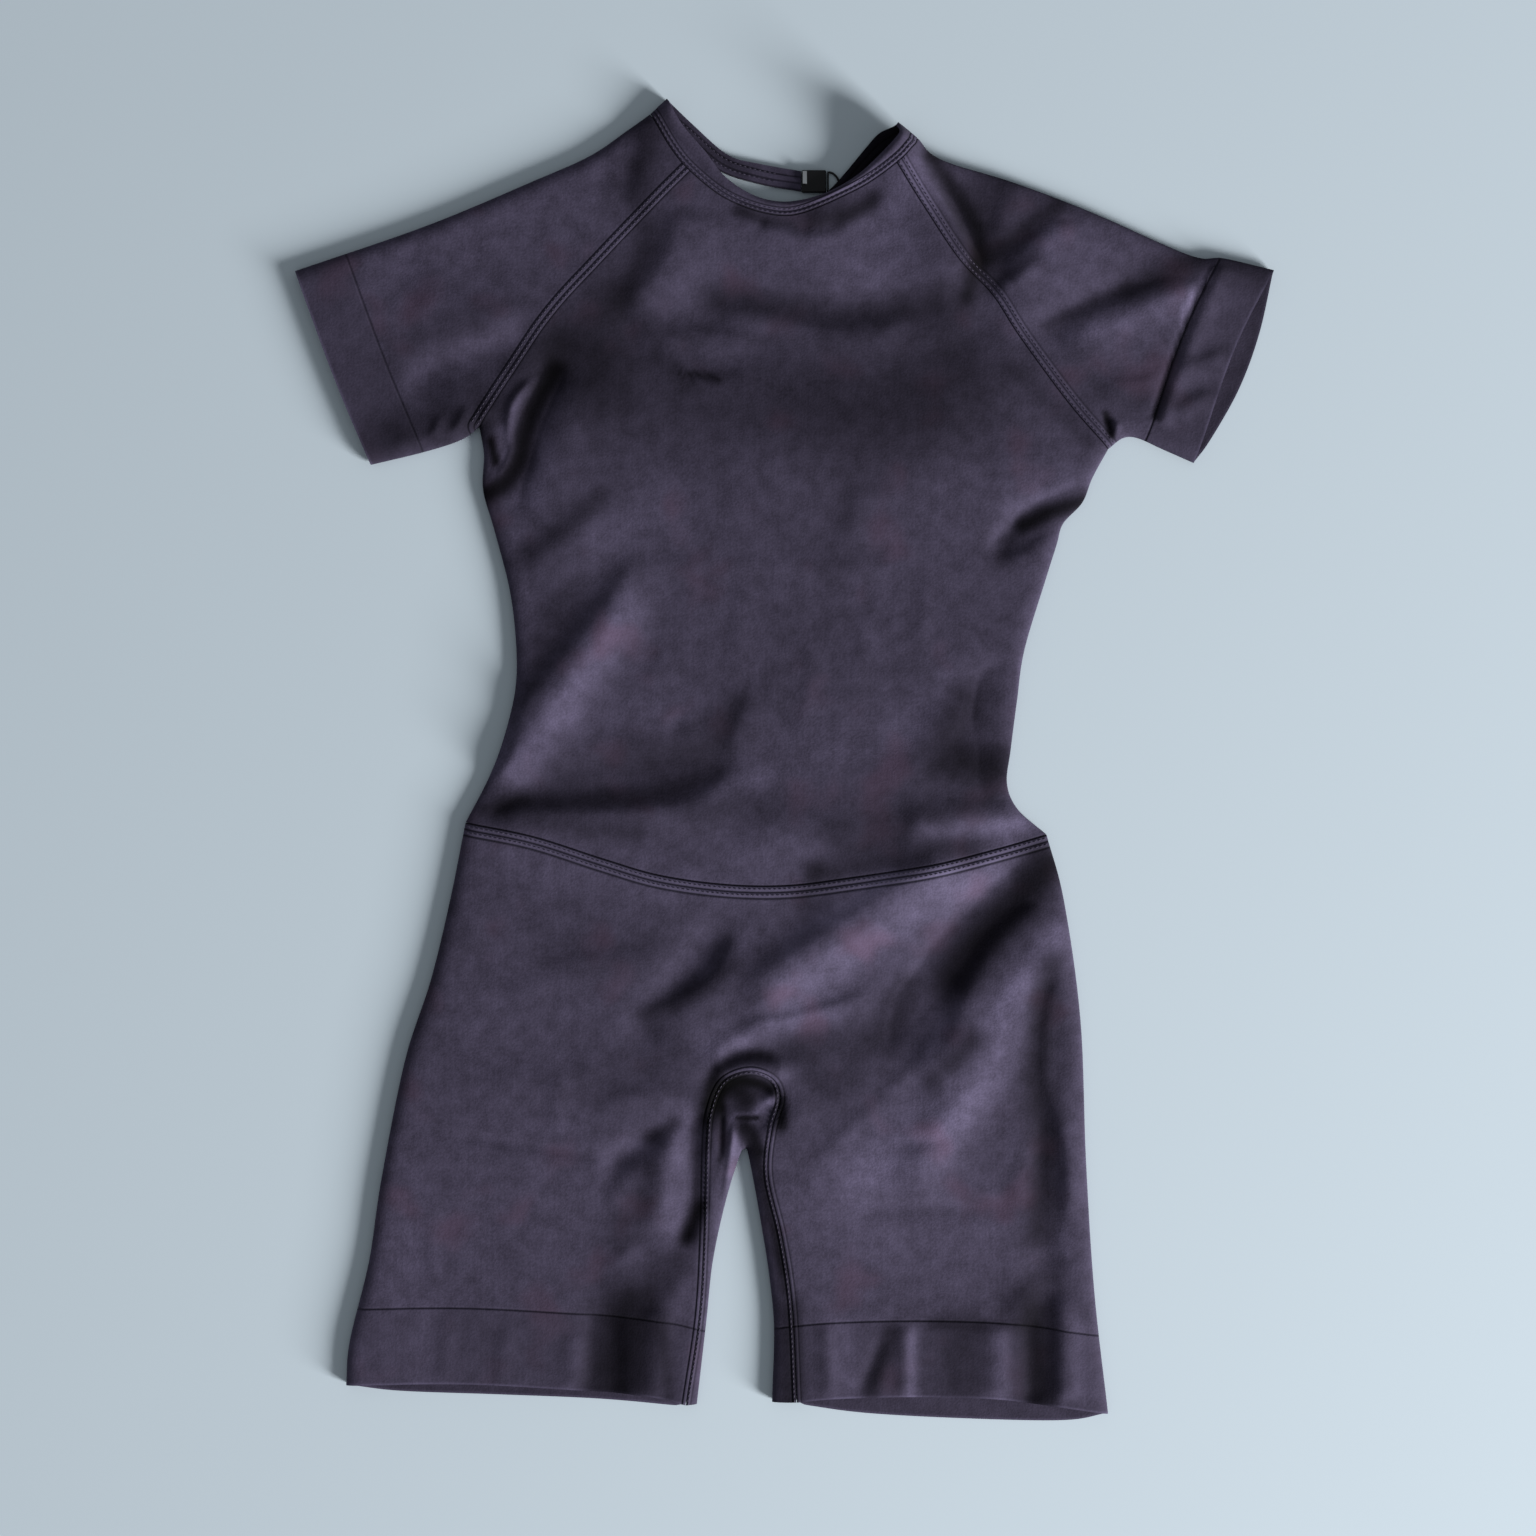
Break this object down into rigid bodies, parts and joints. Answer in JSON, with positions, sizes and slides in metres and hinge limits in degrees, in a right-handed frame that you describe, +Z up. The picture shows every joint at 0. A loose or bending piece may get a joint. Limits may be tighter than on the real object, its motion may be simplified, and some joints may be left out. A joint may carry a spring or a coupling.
{
  "type": "workout romper",
  "caption": "Short-sleeved raglan workout romper with bike-short legs, lying flat with its front up and its back neck straps clasped.",
  "frame": {"origin": "middle of the garment's outline, on the surface that it lies on", "axes": "+Y from the crotch towards the neck, +X to the wearer's left, +Z up through the front"},
  "size_m": [0.5324, 0.7191, 0.0196],
  "materials": {
    "knit": "fine matt jersey knit",
    "binding": "folded jersey binding, stitched",
    "hook": "black, half gloss",
    "bar": "pale metal",
    "ring": "black lacquered wire"
  },
  "bodies": {
    "root": {"bodice_front": "knit", "bodice_back": "knit", "sleeve_right": "knit", "sleeve_left": "knit", "shorts": "knit", "inner_leg_gusset": "knit", "neck_binding": "binding", "clasp_hook": "hook", "clasp_bar": "bar", "clasp_ring": "ring"}
  },
  "joints": []
}
